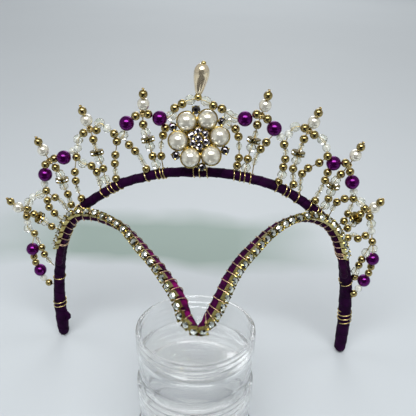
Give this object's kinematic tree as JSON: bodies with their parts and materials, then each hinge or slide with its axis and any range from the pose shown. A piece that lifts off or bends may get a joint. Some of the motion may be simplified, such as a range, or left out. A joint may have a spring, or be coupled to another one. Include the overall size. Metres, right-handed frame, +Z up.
{
  "type": "ballet headpiece on a clear jar stand",
  "caption": "Beaded wire tiara on a ribbon-bound arch with a pearl brooch and a stone-set forehead peak, propped on a stack of clear jars.",
  "frame": {"origin": "centre of the bounding box at the floor, between the jar stand in front and the arch's two feet behind", "axes": "+X across the head towards the wearer's left, -Y the front where the peak points, +Z up"},
  "size_m": [0.1686, 0.1005, 0.1487],
  "materials": {
    "ribbon": "dark aubergine satin ribbon, wound",
    "clear_stones": "clear cut stones in gold square cups",
    "gold_wire": "thin pale gold wire",
    "gold_beads": "pale antique gold beads with crystals and pearls",
    "violet_beads": "dark violet pearls with gold, crystal and ivory beads",
    "ivory_pearls": "ivory pearl lustre in gold settings",
    "clear_plastic": "clear moulded plastic"
  },
  "bodies": {
    "root": {"crown_arch": "ribbon", "peak_band": "ribbon", "stone_chain_left": "clear_stones", "stone_chain_right": "clear_stones", "lashing_left": "gold_wire", "lashing_right": "gold_wire", "leg_binding_left": "gold_wire", "leg_binding_right": "gold_wire", "edge_string_left": "violet_beads", "edge_string_right": "violet_beads", "stem_left_1": "gold_beads", "stem_left_2": "gold_beads", "stem_left_3": "gold_beads", "stem_left_4": "gold_beads", "stem_right_1": "gold_beads", "stem_right_2": "gold_beads", "stem_right_3": "gold_beads", "stem_right_4": "gold_beads", "strand_left_1": "gold_wire", "strand_left_2": "gold_wire", "strand_left_3": "gold_wire", "strand_left_4": "gold_wire", "strand_left_5": "gold_wire", "strand_left_6": "gold_wire", "strand_left_7": "gold_wire", "strand_left_8": "gold_wire", "strand_right_1": "gold_wire", "strand_right_2": "gold_wire", "strand_right_3": "gold_wire", "strand_right_4": "gold_wire", "strand_right_5": "gold_wire", "strand_right_6": "gold_wire", "strand_right_7": "gold_wire", "strand_right_8": "gold_wire", "strand_right_9": "gold_wire", "brooch": "ivory_pearls", "pearl_drop": "ivory_pearls", "jar_base": "clear_plastic", "jar_middle": "clear_plastic", "jar_top": "clear_plastic"}
  },
  "joints": []
}
